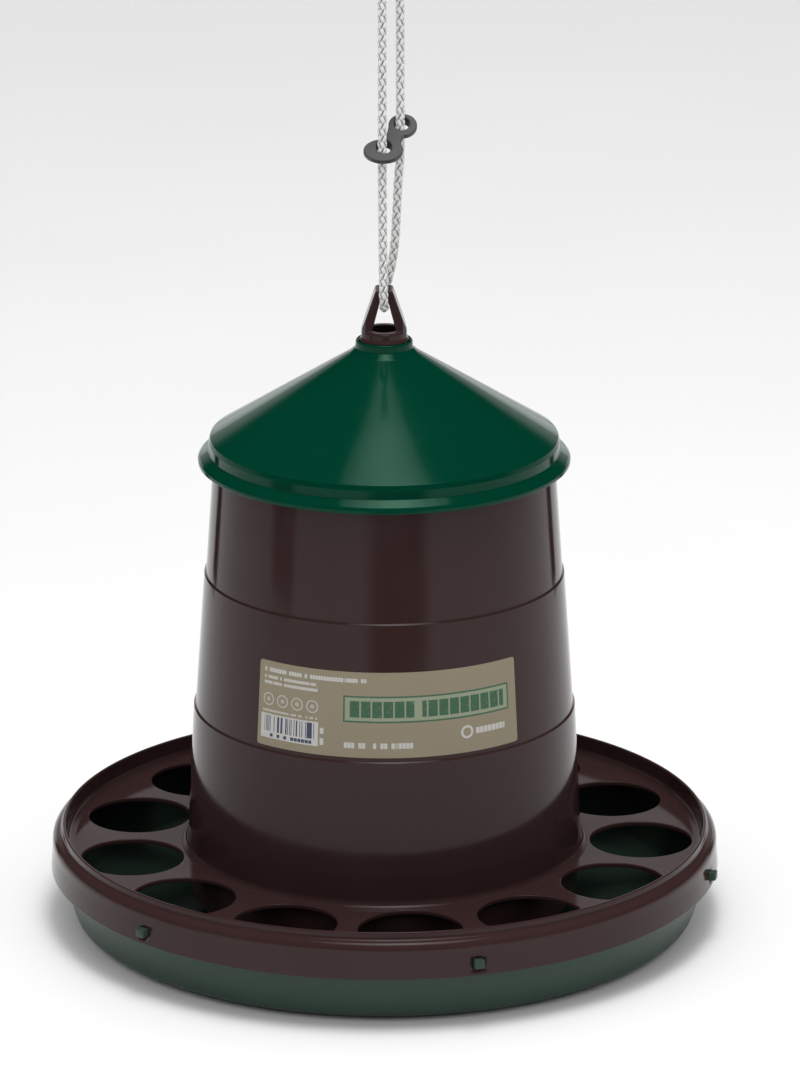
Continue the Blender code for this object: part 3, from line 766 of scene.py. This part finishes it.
def make_adjuster():
    """A leaning plate with two eyes, its outline drawn from two rounded pads and a waist."""
    lean = Matrix.Rotation(math.radians(ADJUSTER_TILT), 4, "X")
    seat = Matrix.Translation(place(0, LEFT_STRAND[1], ADJUSTER_HEIGHT)) @ lean
    half = 1.55

    def pad(name, centre, across, along):
        bm = bmesh.new()
        at = seat @ Matrix.Translation((centre[0] * MM, centre[1] * MM, 0))
        bmesh.ops.create_cone(
            bm, cap_ends=True, segments=AROUND_SMALL, radius1=MM, radius2=MM, depth=2 * half * MM,
            matrix=at @ Matrix.Diagonal((across, along, 1, 1)),
        )
        return finished(name, bm)

    def waist(name, outline):
        bm = bmesh.new()
        corners = [bm.verts.new(seat @ Vector((u * MM, v * MM, -half * MM))) for u, v in outline]
        moved = bmesh.ops.extrude_face_region(bm, geom=[bm.faces.new(corners)])["geom"]
        verts = [item for item in moved if isinstance(item, bmesh.types.BMVert)]
        bmesh.ops.translate(bm, verts=verts, vec=seat.to_3x3() @ Vector((0, 0, 2 * half * MM)))
        return finished(name, bm)

    def eye(name, at, height):
        middle = Matrix.Translation(place(at[0] + EYE_SHIFT, at[1], height))
        stretch = Matrix.Diagonal((EYE_STRETCH, 1, 1, 1))
        bm = bmesh.new()
        bmesh.ops.create_cone(
            bm, cap_ends=True, segments=AROUND_SMALL, radius1=EYE_RADIUS * MM,
            radius2=EYE_RADIUS * MM, depth=16 * MM, matrix=middle @ stretch,
        )
        return finished(name, bm)

    plate = pad("rope_adjuster_plate", (-0.4, -0.6), 10.3, 6.7)
    waist_outline = rounded(
        [(0.0, 2.0), (9.4, -1.0, 2.0), (8.8, 5.0, 3.0), (11.4, 10.2, 2.0), (3.0, 17.2)], steps=8
    )
    upper = pad("upper", (9.8, 14.8), 7.5, 6.7)
    plate = combine(plate, [upper, waist("waist", waist_outline)], "UNION")
    eyes = [
        eye("low_eye", LEFT_STRAND, ADJUSTER_HEIGHT),
        eye("high_eye", RIGHT_STRAND, ADJUSTER_HEIGHT + EYE_STEP),
    ]
    plate = combine(plate, eyes, "DIFFERENCE")
    return moulded(plate, 0.24, 5)


adjuster = dress(make_adjuster(), ADJUSTER_GREY, "adjuster", "adjuster_grey", "rope_adjuster")


# ---------------------------------------------------------------- pan and ring


def make_pan():
    outline = rounded([
        (0, 45.8), (6, 44.4, 8), (90, 0, 3.0), (160, 0, 4.0), (167.4, 4.6, 4.0),
        (176.2, 34.0, 20.0),
        (176.3, 42.4, 0.9), (174.3, 42.4, 0.9), (174.1, 34.4, 20.0), (165.6, 6.6, 4.0),
        (159.4, WALL, 5.0), (93, WALL, 4.0), (6, 46.8, 8), (0, 48),
    ], steps=8)
    pan = turned("pan_dish", outline, closed=False)
    lug = bar(
        "pan_lugs", (-LUG_WIDTH / 2, -LUG_REACH, LUG_BOTTOM), (LUG_WIDTH / 2, -174.8, LUG_TOP), 0.7
    )
    lugs = through(
        lug, AROUND_AXIS, Count=LUGS, First_Bearing=math.radians(FIRST_LUG), Material=PAN_GREEN
    )
    return pan, lugs


def add_holed_face(bm, height, inner, wall_round, wall_end, first):
    """One face of the ring's plate, with the upper or lower half of each feeding hole's wall."""
    across, along = AROUND // HOLES, 12
    half = math.pi / HOLES
    outer = PLATE_EDGE
    edge = [(outer, -half + 2 * half * i / across) for i in range(across)]
    edge += [(outer + (inner - outer) * i / along, half) for i in range(along)]
    edge += [(inner, half - 2 * half * i / across) for i in range(across)]
    edge += [(inner + (outer - inner) * i / along, -half) for i in range(along)]
    way = 1 if height > wall_end else -1
    for hole in range(HOLES):
        middle = first + half + 2 * half * hole
        centre = np.array((HOLE_CIRCLE * math.sin(middle), -HOLE_CIRCLE * math.cos(middle)))
        rims = []
        for radius, bearing in edge:
            facing = middle + bearing
            at = np.array((radius * math.sin(facing), -radius * math.cos(facing)))
            spoke = at - centre
            reach = np.linalg.norm(spoke)
            spoke /= reach
            column = [bm.verts.new(place(*at, height))]
            lip = HOLE_RADIUS + wall_round
            support = lip + min(0.3, 0.5 * (reach - lip))
            column.append(bm.verts.new(place(*(centre + spoke * support), height)))
            for k in range(7):
                a = math.radians(15 * k)
                out = centre + spoke * (lip - wall_round * math.sin(a))
                drop = way * wall_round * (1 - math.cos(a))
                column.append(bm.verts.new(place(*out, height - drop)))
            column.append(bm.verts.new(place(*(centre + spoke * HOLE_RADIUS), wall_end)))
            rims.append(column)
        for one, two in zip(rims, rims[1:] + rims[:1]):
            for j in range(len(one) - 1):
                bm.faces.new((one[j], one[j + 1], two[j + 1], two[j]))


def make_ring():
    """The plate with its feeding holes, the rolled lip, and the skirt with its windows."""
    first = math.radians(FIRST_HOLE) - math.pi / HOLES
    lip = rounded([
        (PLATE_EDGE, PLATE_TOP), (171.6, PLATE_TOP, 4.6), (171.9, 52.3, 0.6), (173.5, 52.3, 0.65),
        (174.0, 48.8, 1.9), *arc((174.2, 43.4), 4.8, 72, 0, 16), (179.1, 39.6, 1.0),
        (180.0, 28.6, 0.6), (177.9, 28.6, 0.6),
        (177.4, 38.0, 0.5), (177.1, 42.6, 0.5), (176.0, 44.0, 0.5), (174.6, 43.6, 0.5),
        (173.6, PLATE_UNDER, 0.6), (PLATE_EDGE, PLATE_UNDER),
    ])
    upper_edge, under_edge = 107.5, 109.0
    throat = rounded([
        (upper_edge, PLATE_TOP), (THROAT, PLATE_TOP, 0.5), (THROAT, 36.2, 0.4), (108.4, 36.2, 0.4),
        (108.4, PLATE_UNDER, 0.3), (under_edge, PLATE_UNDER),
    ])
    bm = bmesh.new()
    turn(bm, lip, AROUND, closed=False, first=first)
    turn(bm, throat, AROUND, closed=False, first=first)
    middle = PLATE_TOP - 1.4
    add_holed_face(bm, PLATE_TOP, upper_edge, HOLE_ROUND, middle, first)
    add_holed_face(bm, PLATE_UNDER, under_edge, 0.4, middle, first)
    ring = finished("feeding_ring_shell", bm)
    window = bar(
        "windows", (-WINDOW_WIDTH / 2, -186, WINDOW_BOTTOM),
        (WINDOW_WIDTH / 2, -176.9, WINDOW_TOP), 0.5
    )
    windows = through(
        window, AROUND_AXIS, Count=LUGS, First_Bearing=math.radians(FIRST_LUG), Material=BROWN
    )
    return combine(ring, [windows], "DIFFERENCE")


pan, lugs = make_pan()
dress(pan, PAN_GREEN, "pan", "pan_green", "pan")
dress(lugs, PAN_GREEN, "pan", "pan_green")
dress(make_ring(), BROWN, "body", "brown_plastic", "feeding_ring")


# ---------------------------------------------------------------- hopper and label


def wall_radius(height):
    """The hopper's outer radius: three tapers with a small step between them."""
    upper, lower = LEDGES
    if height > upper:
        return 95.0 - (height - upper) * 5.0 / 72.0
    if height > lower:
        return 101.2 - (height - lower) * 5.2 / 73.0
    return 105.4 - (height - 56) * 3.2 / 62.0


def make_hopper():
    """The tapered tube with its two ledges, its rounded foot, the spout with its barbs, and the
    slots for the spider."""
    upper, lower = LEDGES
    foot = arc((110.0, 44.7), 4.25, 180, 260, 12)
    corners = [
        (87.7, 265.4, 0.8), (90.0, 265.4, 0.9), (wall_radius(RIM_ROW), RIM_ROW),
        (wall_radius(UNDER_RIM_ROW), UNDER_RIM_ROW),
        (wall_radius(upper + 0.9), upper + 0.9, 0.5), (wall_radius(upper), upper + 0.1, 0.35),
        (wall_radius(lower + 0.9), lower + 0.9, 0.5), (wall_radius(lower), lower + 0.1, 0.35),
        (105.4, 57.0, 20.0), *foot, (109.2, 40.4), (105.2, 40.4, 0.3),
        (104.2, SPOUT_END, 0.8), (102.0, SPOUT_END, 0.8), (103.0, 40.4, 2.0),
        (103.2, 56.0, 4.0), (wall_radius(lower) - WALL, lower, 1.0),
        (wall_radius(upper) - WALL, upper, 1.0),
        (wall_radius(UNDER_RIM_ROW) - WALL, UNDER_RIM_ROW),
        (wall_radius(RIM_ROW) - WALL, RIM_ROW),
    ]
    hopper = turned("hopper_shell", rounded(corners, closed=True))
    slot = bar("slots", (-3.15, -94, 257.5), (3.15, -84, 263.0), 0.8)
    slots = through(slot, AROUND_AXIS, Count=ARMS, First_Bearing=math.pi, Material=BROWN)
    hopper = combine(hopper, [slots], "DIFFERENCE")
    barb = bar("spout_barbs", (-6, -107.2, 33.4), (6, -103.9, 35.8), 0.6)
    barbs = through(barb, AROUND_AXIS, Count=4, First_Bearing=math.pi / 4, Material=BROWN)
    return hopper, barbs


def make_label():
    """A sticker with rounded corners that hugs the hopper. Its UV map is in units of 100 mm."""
    columns, rows, lift, thickness = 120, 10, 0.12, 0.18
    middle = math.radians(LABEL_BEARING)
    half = math.radians(LABEL_HALF_ANGLE)
    mean = wall_radius((LABEL_BOTTOM + LABEL_TOP) / 2) + lift
    width = 2 * half * mean
    bm = bmesh.new()
    uv = bm.loops.layers.uv.new("UVMap")
    places = {}

    def corner(across, up, out):
        radius = wall_radius(LABEL_BOTTOM + up) + lift + out
        vert = bm.verts.new(on_bearing(radius, middle - half + across / mean, LABEL_BOTTOM + up))
        places[vert] = (across / 100, up / 100)
        return vert

    grid = []
    near = [LABEL_CORNER * (1 - math.cos(math.radians(15 * k))) for k in range(7)]
    flat = [near[-1] + (width - 2 * near[-1]) * i / columns for i in range(1, columns)]
    tall = LABEL_TOP - LABEL_BOTTOM
    for across in near + flat + [width - x for x in reversed(near)]:
        into = max(LABEL_CORNER - across, across - (width - LABEL_CORNER), 0)
        trim = LABEL_CORNER - math.sqrt(max(LABEL_CORNER ** 2 - into ** 2, 0))
        ups = [trim + (tall - 2 * trim) * j / rows for j in range(rows + 1)]
        grid.append([[corner(across, up, out) for up in ups] for out in (0.0, thickness)])
    for one, two in zip(grid, grid[1:]):
        for layer in (0, 1):
            for j in range(rows):
                bm.faces.new((one[layer][j], one[layer][j + 1], two[layer][j + 1], two[layer][j]))
        for j in (0, rows):
            bm.faces.new((one[0][j], two[0][j], two[1][j], one[1][j]))
    for side in (grid[0], grid[-1]):
        for j in range(rows):
            bm.faces.new((side[0][j], side[0][j + 1], side[1][j + 1], side[1][j]))
    for face in bm.faces:
        for loop in face.loops:
            loop[uv].uv = places[loop.vert]
    return finished("label_sticker", bm, sharp=50)


hopper, barbs = make_hopper()
dress(hopper, BROWN, "body", "brown_plastic", "hopper")
dress(barbs, BROWN, "body", "brown_plastic")
dress(make_label(), LABEL_PRINT, "body", "label_paper", "label")


# ---------------------------------------------------------------- lid, spider and hanger


def make_lid():
    """The cone, its collar round the hanger, the near-vertical skirt and the brim."""
    outline = rounded([
        (13.5, 312.6, 0.4), (13.5, COLLAR_TOP, 0.5), (15.0, COLLAR_TOP, 1.1), (15.3, 316.4, 1.0),
        (18.3, 313.6, 1.6), CONE_FOOT + (0.9,), (93.1, 265.0, 1.0), (93.3, 260.3, 0.4),
        (97.7, 257.3, 1.0), (98.75, 256.0, 1.0), (98.75, 253.9, 0.5), (97.2, 253.9, 0.5),
        (96.4, 255.6, 0.6), (91.3, 256.8, 0.4), (91.3, 265.4, 1.5), (16.4, 312.6, 0.6),
    ], closed=True)
    return turned("lid_shell", outline)


def make_spider():
    """Three arms from the post to the hopper's mouth, each with a tongue in its slot."""
    hub = turned("hanger_spider_hub", rounded([
        (11.4, SPIDER_BOTTOM, 0.4), (15.5, SPIDER_BOTTOM, 0.8), (15.5, SPIDER_TOP, 0.8),
        (11.4, SPIDER_TOP, 0.4),
    ], closed=True), AROUND_SMALL)
    arm = bar("hanger_spider_arms", (-3.5, -87.2, 257.0), (3.5, -13.2, 264.0), 1.0, 4)
    tongue = bar("tongue", (-2.75, -89.8, 258.0), (2.75, -86.0, 262.5), 0.6)
    rib = bar("rib", (-1.1, -84.0, 263.6), (1.1, -15.0, 265.2), 0.5)
    arms = through(
        joined("hanger_spider_arms", [arm, tongue, rib]), AROUND_AXIS,
        Count=ARMS, First_Bearing=math.pi, Material=BROWN,
    )
    return hub, arms


def make_hanger():
    """The bail and its hub in one soft moulding, and the turned post below them."""
    post = turned("hanger_post", rounded([
        (TUBE_BORE, 252.0, 0.5), (11.0, 252.0, 0.8), (11.0, 265.8, 0.3), (13.0, 265.8, 0.5),
        (13.0, 268.6, 0.8), (11.0, 270.2, 0.8), (11.0, 314.6, 0.8), (12.2, 315.8, 0.5),
        (12.2, 318.0, 0.3), (TUBE_BORE, 318.0, 0.3),
    ], closed=True), AROUND_SMALL)
    nib = bar("hanger_nibs", (-3, -12.3, 252.6), (3, -10.6, 255.1), 0.5)
    nibs = through(nib, AROUND_AXIS, Count=2, First_Bearing=math.pi / 2, Material=BROWN)

    hub = turned("hanger_bail", rounded([
        (TUBE_BORE, 316.9, 0.4), (13.05, 316.9, 0.5), (13.05, 320.9, 0.5),
        (HUB_RADIUS, 322.0, 0.5), (HUB_RADIUS, HUB_TOP, 1.2), (TUBE_BORE, HUB_TOP, 0.5),
    ], closed=True), AROUND_SMALL)
    left = [
        (-HUB_RADIUS, 323.0), (-HUB_RADIUS, HUB_TOP, 2.0), (-6.0, 344.0, 2.5),
        (-4.6, BAIL_TOP + 0.1, 1.5),
    ]
    right = [(-corner[0],) + corner[1:] for corner in reversed(left)]
    bail = prism("bail", rounded(left + right), BAIL_HALF_DEPTH)
    drum = turned("drum", [(0, 318), (12.0, 318), (12.0, 352), (0, 352)], AROUND_SMALL, closed=False)
    bail = combine(bail, [drum], "INTERSECT")
    eye_left = [(-6.2, 320.0), (-6.2, HUB_TOP + 0.6, 1.2), (-3.2, 338.2, 2.0), (-2.2, 341.0, 1.8)]
    eye_right = [(-corner[0],) + corner[1:] for corner in reversed(eye_left)]
    eye = prism("eye", rounded(eye_left + eye_right), 12)
    groove = 2.9
    saddle = [(BEND_RADIUS + groove * math.cos(a), groove * math.sin(a)) for a in
              [math.tau * i / 32 for i in range(32)]]
    bm = bmesh.new()
    rings = []
    for i in range(AROUND_SMALL):
        a = math.tau * i / AROUND_SMALL
        rings.append([
            bm.verts.new(place(x, r * math.cos(a), BEND_CENTRE + r * math.sin(a))) for r, x in saddle
        ])
    for one, two in zip(rings, rings[1:] + rings[:1]):
        for j in range(len(saddle)):
            k = (j + 1) % len(saddle)
            bm.faces.new((one[j], one[k], two[k], two[j]))
    bail = combine(bail, [eye, finished("saddle", bm)], "DIFFERENCE")
    return post, nibs, moulded(combine(hub, [bail], "UNION"), 0.28, 4)


dress(make_lid(), LID_GREEN, "lid", "lid_green", "lid")
spider_hub, spider_arms = make_spider()
dress(spider_hub, BROWN, "body", "brown_plastic", "hanger_spider")
dress(spider_arms, BROWN, "body", "brown_plastic", "hanger_spider")
post, nibs, bail = make_hanger()
dress(bail, BROWN, "body", "brown_plastic", "hanger")
dress(post, BROWN, "body", "brown_plastic", "hanger")
dress(nibs, BROWN, "body", "brown_plastic", "hanger")


# ---------------------------------------------------------------- studio


def add_floor():
    bm = bmesh.new()
    bmesh.ops.create_grid(bm, x_segments=8, y_segments=8, size=9.0)
    bmesh.ops.translate(bm, verts=bm.verts, vec=(0, 0, BASE - 0.2 * MM))
    mesh = bpy.data.meshes.new("studio_floor")
    bm.to_mesh(mesh)
    bm.free()
    floor = linked("studio_floor", mesh)
    mesh.materials.append(studio_floor("studio_floor"))


def add_softbox(name, at, aim, size, brightness):
    """A rectangular soft light of an even brightness."""
    light = bpy.data.lights.new(name, "AREA")
    light.shape = "RECTANGLE"
    light.size, light.size_y = size[0] * MM, size[1] * MM
    light.energy = brightness * math.pi * light.size * light.size_y
    box = linked(name, light)
    at, aim = place(*at), place(*aim)
    box.location = at
    box.rotation_euler = (aim - at).to_track_quat("-Z", "Y").to_euler()


def add_flag(name, middle, width, height, bearing):
    """A soft-edged black card that stands on the floor. Only the gloss of the feeder sees it."""
    bm = bmesh.new()
    shape = Matrix.Diagonal((width * MM, height * MM, 1, 1))
    bmesh.ops.create_grid(bm, size=0.5, matrix=Matrix.Rotation(math.pi / 2, 4, "X") @ shape)
    card = finished(name, bm)
    card.location = place(*middle, height / 2)
    card.rotation_euler.z = math.radians(bearing)
    cloth = Finish(name, Base_Color=(0, 0, 0, 1), Specular_IOR_Level=0.0)
    half, tall = width * MM / 2, height * MM / 2
    across = abs(cloth.at_axis("X")).ramp(half, 0.45 * half)
    cover = across * cloth.at_axis("Z").ramp(tall, 0.4 * tall)
    cloth.tree.links.new(cover.socket, cloth.shader.inputs["Alpha"])
    card.data.materials.append(cloth.material)
    for ray in ("camera", "diffuse", "shadow", "transmission", "volume_scatter"):
        setattr(card, "visible_" + ray, False)


def add_room():
    """A dark room, its walls pale up to a little above the horizon, and higher at the back."""
    world = bpy.data.worlds.new("studio")
    SCENE.world = world
    world.use_nodes = True
    room = Tree(world.node_tree)
    heading = room.add("ShaderNodeTexCoord", output="Generated")
    back = room.add("ShaderNodeSeparateXYZ", None, {"Vector": heading}, "Y")
    up = back.output("Z")
    pale = up.ramp(0.14, 0.12) * 0.55 + back.ramp(0.84, 0.93) * up.ramp(0.42, 0.36) * 0.45
    room.tree.links.new(pale.socket, world.node_tree.nodes["Background"].inputs["Color"])


def add_studio():
    add_floor()
    add_room()
    sky = bpy.data.lights.new("overhead_fill", "SUN")
    sky.energy, sky.angle = 2.4, math.radians(130)
    fill = linked("overhead_fill", sky)
    fill.rotation_euler = (math.radians(8), 0, 0)
    fill.visible_glossy = False
    middle = (130, -300)
    for width, brightness in ((350, 5.0), (650, 3.6), (950, 2.5), (1250, 1.5)):
        size = (width, 950 + width / 3)
        add_softbox("top_strip", (*middle, 2500), (*middle, 0), size, brightness)
    add_flag("front_flag", (140, -860), 760, 150, 0)
    add_flag("side_flag", (-960, -420), 420, 110, -66)
    add_flag("left_flag", (-520, 520), 160, 170, 50)
    add_flag("right_flag", (520, 520), 160, 170, -50)
    SCENE.view_settings.view_transform = "Standard"


add_studio()
